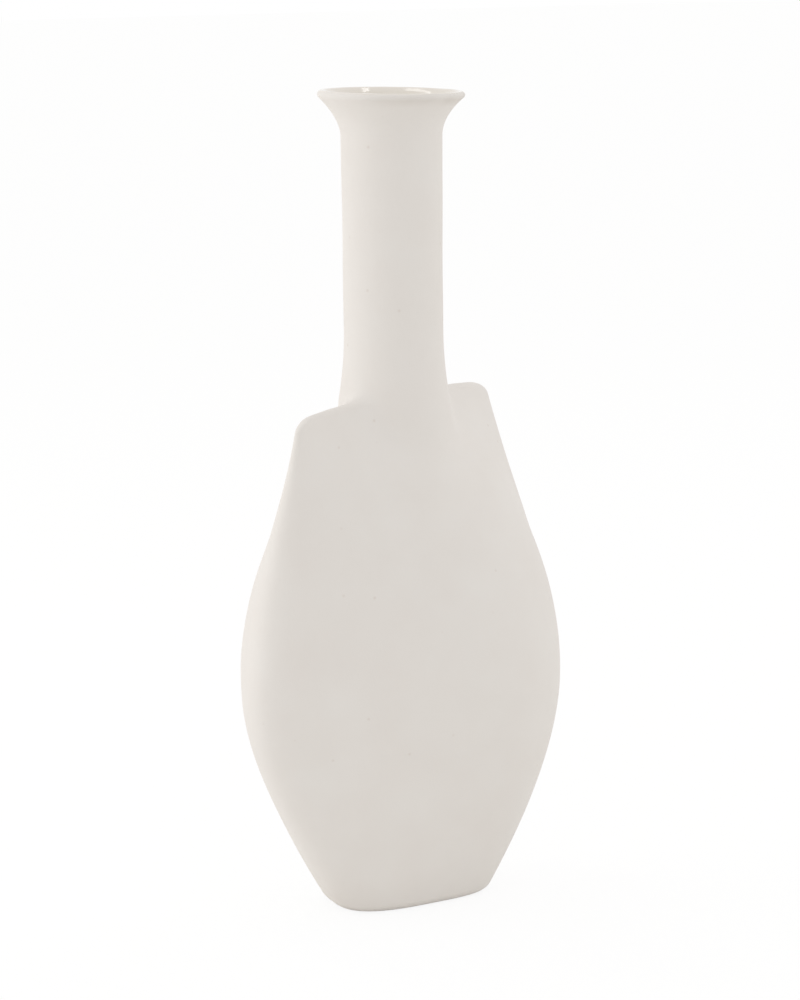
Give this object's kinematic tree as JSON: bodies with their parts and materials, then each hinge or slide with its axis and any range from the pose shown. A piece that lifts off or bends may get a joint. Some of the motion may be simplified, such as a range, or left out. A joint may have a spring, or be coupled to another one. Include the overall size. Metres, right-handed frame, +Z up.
{
  "type": "vase",
  "caption": "Tall vase for a few stems: a straight round neck with a flared lip on a flattened slab body with wing-like shoulders.",
  "frame": {"origin": "middle of the flat underside, on the axis of the neck", "axes": "+Z up along the neck, the body's wide side along X, -Y towards the front"},
  "size_m": [0.1708, 0.0906, 0.4009],
  "materials": {
    "bisque_clay": "matte",
    "cream_glaze": "gloss"
  },
  "bodies": {
    "root": {"base_slab": "bisque_clay", "front_shell": "bisque_clay", "back_shell": "bisque_clay", "neck_tube": "bisque_clay", "flared_lip": "bisque_clay", "glaze_lining": "cream_glaze"}
  },
  "joints": []
}
